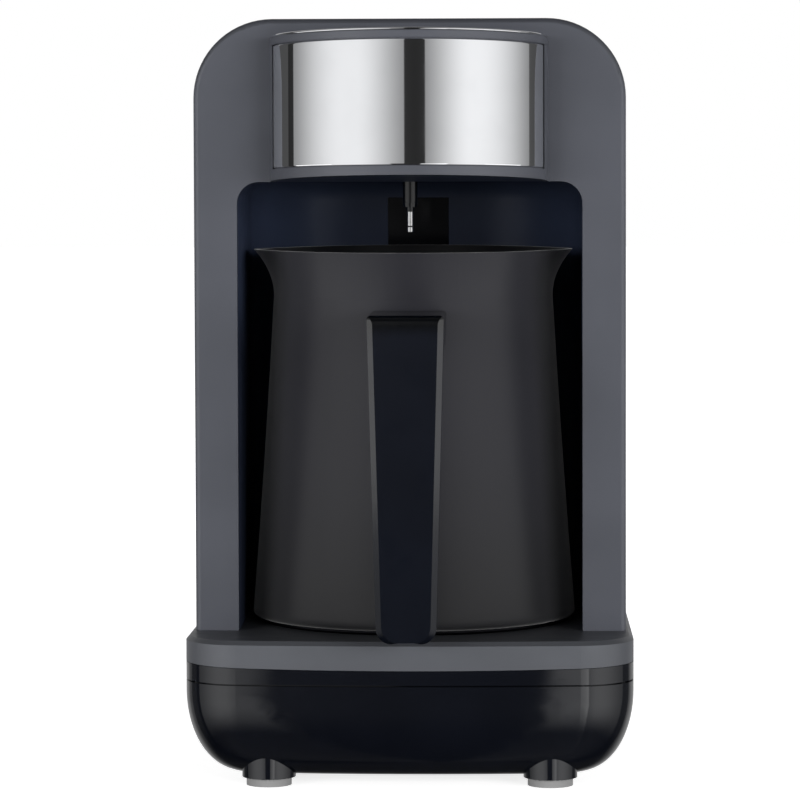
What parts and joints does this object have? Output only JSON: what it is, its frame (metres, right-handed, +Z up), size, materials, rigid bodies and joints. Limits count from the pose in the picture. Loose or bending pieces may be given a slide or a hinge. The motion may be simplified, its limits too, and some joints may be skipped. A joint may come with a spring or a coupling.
{
  "type": "electric turkish coffee maker",
  "caption": "Arched tower with a half-round chrome-banded head over a hot plate, and a lift-out coffee pot with a slim handle.",
  "frame": {"origin": "bottom centre of the whole object, on the surface it stands on", "axes": "the front faces -Y, +X is to the right of someone facing the front, +Z is up"},
  "size_m": [0.1466, 0.1676, 0.2502],
  "materials": {
    "casing_grey": "satin, slightly blue dark grey",
    "deck_grey": "satin grey",
    "liner_dark": "satin near-black",
    "window_dark": "dark glossy window",
    "gloss_black": "piano gloss",
    "chrome_band": "mirror",
    "pot_coat": "satin non-stick coat",
    "pot_disc": "dark satin",
    "handle_black": "half-gloss blue-black",
    "button_black": "half-gloss",
    "ring_clear": "milky light guide",
    "grey_rubber": "matt light grey",
    "black_rubber": "matt black",
    "plate_metal": "dark anodised",
    "element_steel": "sheathed tube",
    "shield_metal": "pressed sheet",
    "probe_steel": "polished",
    "screw_steel": "zinc plated",
    "circuit_board": "green laminate",
    "component_dark": "moulded component"
  },
  "bodies": {
    "housing": {"tower_front": "casing_grey", "niche_liner": "liner_dark", "sensor_window": "window_dark", "sensor_board": "circuit_board", "rear_cover": "casing_grey", "cord_gland": "black_rubber", "base_pan": "gloss_black", "base_belt": "gloss_black", "deck": "deck_grey", "hot_plate": "plate_metal", "plate_gasket": "black_rubber", "heating_element": "element_steel", "heat_shield": "shield_metal", "thermostat": "component_dark", "thermal_fuse": "component_dark", "head_shell": "casing_grey", "head_underside": "liner_dark", "chrome_band": "chrome_band", "head_cap": "casing_grey", "button_ring": "ring_clear", "tact_switch": "component_dark", "control_board": "circuit_board", "buzzer": "component_dark", "probe_sleeve": "handle_black", "probe_electrode": "probe_steel", "probe_insulator": "component_dark", "probe_tip": "probe_steel", "power_board": "circuit_board", "relay": "component_dark", "transformer": "component_dark", "cover_screws": "screw_steel", "base_screws": "screw_steel", "rubber_feet": "grey_rubber", "board_screws": "screw_steel"},
    "start_button": {"start_button": "button_black", "switch_plunger": "component_dark"},
    "pot": {"pot_body": "pot_coat", "pot_base": "pot_disc", "handle_grip": "handle_black", "handle_back": "handle_black", "handle_bracket": "pot_disc", "handle_screw": "screw_steel"}
  },
  "joints": [
    {"name": "pot_draw", "type": "slide", "parent": "housing", "child": "pot", "axis": [0, -0.9994, 0.0349], "range_m": [0, 0.15]},
    {"name": "button_press", "type": "slide", "parent": "housing", "child": "start_button", "axis": [0, 0, -1], "range_m": [0, 0.0012], "stiffness_N_per_m": 800, "springref_m": -0.0004}
  ]
}
